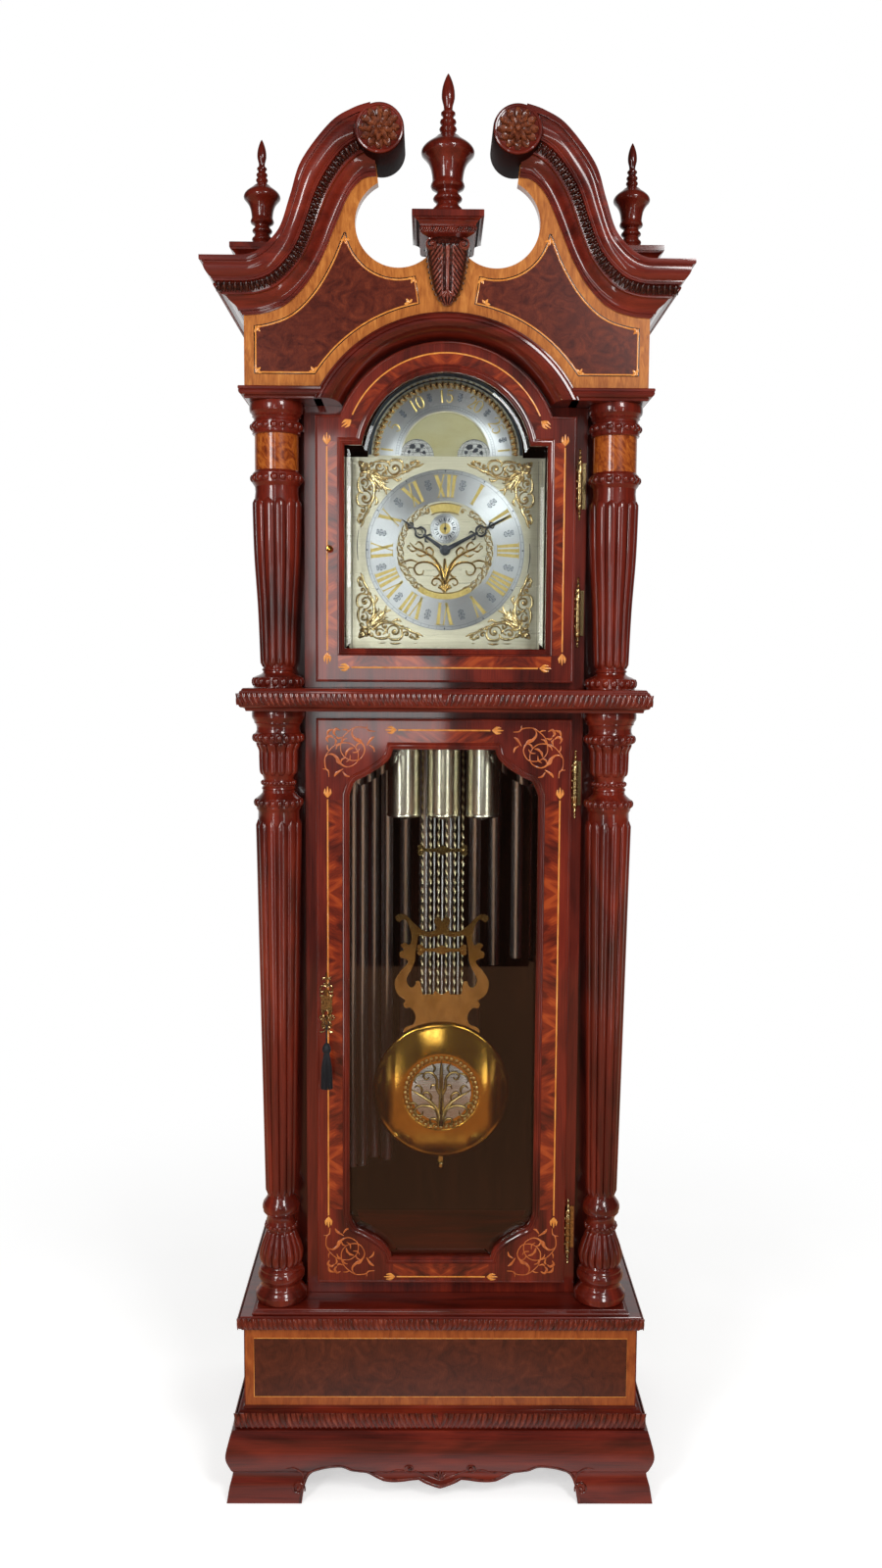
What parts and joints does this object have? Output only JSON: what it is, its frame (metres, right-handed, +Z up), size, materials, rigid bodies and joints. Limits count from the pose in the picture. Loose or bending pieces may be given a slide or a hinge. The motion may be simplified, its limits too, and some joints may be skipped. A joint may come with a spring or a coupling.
{
  "type": "tubular chime grandfather clock",
  "caption": "Free-standing longcase clock: arched hood with swan-neck pediment, glazed trunk door, lyre pendulum, cylinder weights and a rank of chime tubes, on a bracket base.",
  "frame": {"origin": "on the floor, under the middle of the clock's width and depth", "axes": "+Z up, +X to the right as seen from the front, +Y to the back: the dial faces -Y"},
  "size_m": [0.784, 0.464, 2.401],
  "materials": {
    "mahogany": "high gloss red mahogany",
    "burl": "high gloss dark burl veneer",
    "dark_wood": "satin dark stain",
    "brass": "polished",
    "dial_gold": "fine matt gilt",
    "silvered": "silvered, satin",
    "chrome": "polished",
    "blackened": "blackened, satin",
    "glass": "clear",
    "thread": "silk"
  },
  "bodies": {
    "case": {"bracket_base": "mahogany", "plinth": "burl", "back_panel": "dark_wood", "trunk_side_left": "mahogany", "trunk_side_right": "mahogany", "trunk_front_frame": "mahogany", "trunk_column_left": "mahogany", "trunk_column_right": "mahogany", "waist_moulding": "mahogany", "hood_side_left": "mahogany", "hood_side_right": "mahogany", "hood_front_frame": "mahogany", "hood_column_left": "mahogany", "hood_column_right": "mahogany", "hood_cornice": "mahogany", "pediment_board": "burl", "gooseneck_left": "mahogany", "gooseneck_right": "mahogany", "hood_top": "mahogany", "pediment_bracket": "mahogany", "finial_centre": "mahogany", "finial_left": "mahogany", "finial_right": "mahogany", "seat_board": "dark_wood", "movement": "brass", "dial_plate": "dial_gold", "chapter_ring": "silvered", "tube_rack": "dark_wood", "cable_left": "blackened", "cable_centre": "blackened", "cable_right": "blackened", "waist_hinge_lower": "brass", "waist_hinge_upper": "brass", "hood_hinge_lower": "brass", "hood_hinge_upper": "brass", "chime_tube_1": "chrome", "chime_tube_2": "chrome", "chime_tube_3": "chrome", "chime_tube_4": "chrome", "chime_tube_5": "chrome", "chime_tube_6": "chrome", "chime_tube_7": "chrome", "chime_tube_8": "chrome", "chime_tube_9": "chrome"},
    "waist_door": {"waist_door_frame": "mahogany", "waist_door_glass": "glass"},
    "hood_door": {"hood_door_frame": "mahogany", "hood_door_glass": "glass", "hood_door_knob": "brass"},
    "key": {"door_key": "brass"},
    "tassel": {"key_tassel": "thread"},
    "pendulum": {"pendulum_rod": "brass", "pendulum_bob": "brass"},
    "left_weight": {"weight_left": "brass"},
    "centre_weight": {"weight_centre": "brass"},
    "right_weight": {"weight_right": "brass"},
    "minute": {"minute_hand": "blackened"},
    "hour": {"hour_hand": "blackened"},
    "seconds": {"seconds_hand": "blackened"},
    "moon": {"moon_disc": "dial_gold"}
  },
  "joints": [
    {"name": "waist_door_hinge", "type": "hinge", "parent": "case", "child": "waist_door", "pos_m": [0.2225, -0.152, 0.863], "axis": [0, 0, 1], "range_deg": [0, 110]},
    {"name": "hood_door_hinge", "type": "hinge", "parent": "case", "child": "hood_door", "pos_m": [0.2225, -0.152, 1.64], "axis": [0, 0, 1], "range_deg": [0, 100]},
    {"name": "pendulum_swing", "type": "hinge", "parent": "case", "child": "pendulum", "pos_m": [0, 0.015, 1.68], "axis": [0, 1, 0], "range_deg": [-2.5, 2.5]},
    {"name": "left_weight_fall", "type": "slide", "parent": "case", "child": "left_weight", "axis": [0, 0, -1], "range_m": [0, 0.62], "deforming": ["cable_left"]},
    {"name": "centre_weight_fall", "type": "slide", "parent": "case", "child": "centre_weight", "axis": [0, 0, -1], "range_m": [0, 0.62], "deforming": ["cable_centre"]},
    {"name": "right_weight_fall", "type": "slide", "parent": "case", "child": "right_weight", "axis": [0, 0, -1], "range_m": [0, 0.62], "deforming": ["cable_right"]},
    {"name": "minute_turn", "type": "hinge", "parent": "case", "child": "minute", "pos_m": [0, -0.0814, 1.648], "axis": [0, 1, 0], "continuous": true},
    {"name": "hour_turn", "type": "hinge", "parent": "case", "child": "hour", "pos_m": [0, -0.079, 1.648], "axis": [0, 1, 0], "continuous": true},
    {"name": "seconds_turn", "type": "hinge", "parent": "case", "child": "seconds", "pos_m": [0, -0.077, 1.685], "axis": [0, 1, 0], "continuous": true},
    {"name": "moon_turn", "type": "hinge", "parent": "case", "child": "moon", "pos_m": [0, -0.072, 1.807], "axis": [0, 1, 0], "continuous": true},
    {"name": "key_turn", "type": "hinge", "parent": "waist_door", "child": "key", "pos_m": [-0.198, -0.16, 0.848], "axis": [0, 1, 0], "range_deg": [0, 90]},
    {"name": "tassel_swing", "type": "hinge", "parent": "key", "child": "tassel", "pos_m": [-0.198, -0.1785, 0.841], "axis": [0, 1, 0], "range_deg": [-90, 0]}
  ],
  "couplings": [
    {"joint": "hour_turn", "follows": "minute_turn", "ratio": 0.083333},
    {"joint": "moon_turn", "follows": "minute_turn", "ratio": 0.00070621},
    {"joint": "tassel_swing", "follows": "key_turn", "ratio": -1}
  ]
}
